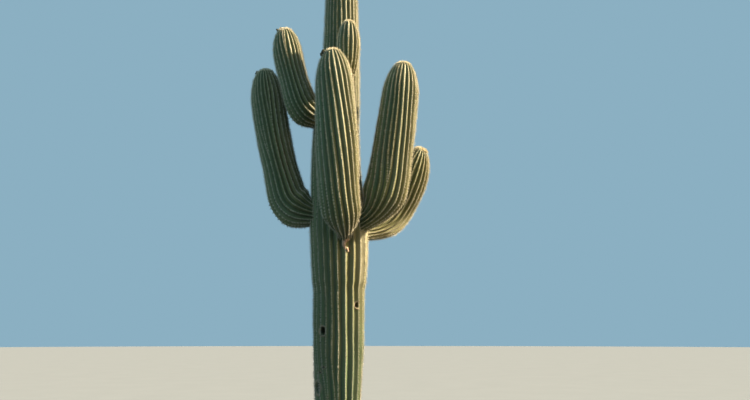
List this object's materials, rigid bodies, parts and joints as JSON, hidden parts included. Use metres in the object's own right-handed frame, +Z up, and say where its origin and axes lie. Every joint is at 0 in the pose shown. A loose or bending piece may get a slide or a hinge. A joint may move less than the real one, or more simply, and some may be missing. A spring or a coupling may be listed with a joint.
{
  "type": "saguaro cactus",
  "caption": "Tall ribbed saguaro cactus: one fluted green trunk with upturned arms on its front and sides, rooted in the ground by a flat cut.",
  "frame": {"origin": "middle of the flat cut under the trunk, at ground level", "axes": "+Z up along the trunk, +X to the right in the picture, +Y away from the viewer"},
  "size_m": [1.8112, 1.2792, 6.012],
  "materials": {
    "trunk_skin": "waxy pleated green skin over woody ribs, pale spines along each crest, grey corky bark at the foot",
    "arm_skin": "waxy pleated green skin with pale spines along each crest and a cream crown of young spines"
  },
  "bodies": {
    "root": {"trunk": "trunk_skin", "right_arm_elbow": "arm_skin", "right_arm_stem": "arm_skin", "right_back_arm_elbow": "arm_skin", "right_back_arm_stem": "arm_skin", "left_low_arm_elbow": "arm_skin", "left_low_arm_stem": "arm_skin", "left_high_arm_elbow": "arm_skin", "left_high_arm_stem": "arm_skin", "front_arm_elbow": "arm_skin", "front_arm_stem": "arm_skin", "high_front_arm_elbow": "arm_skin", "high_front_arm_stem": "arm_skin"}
  },
  "joints": []
}
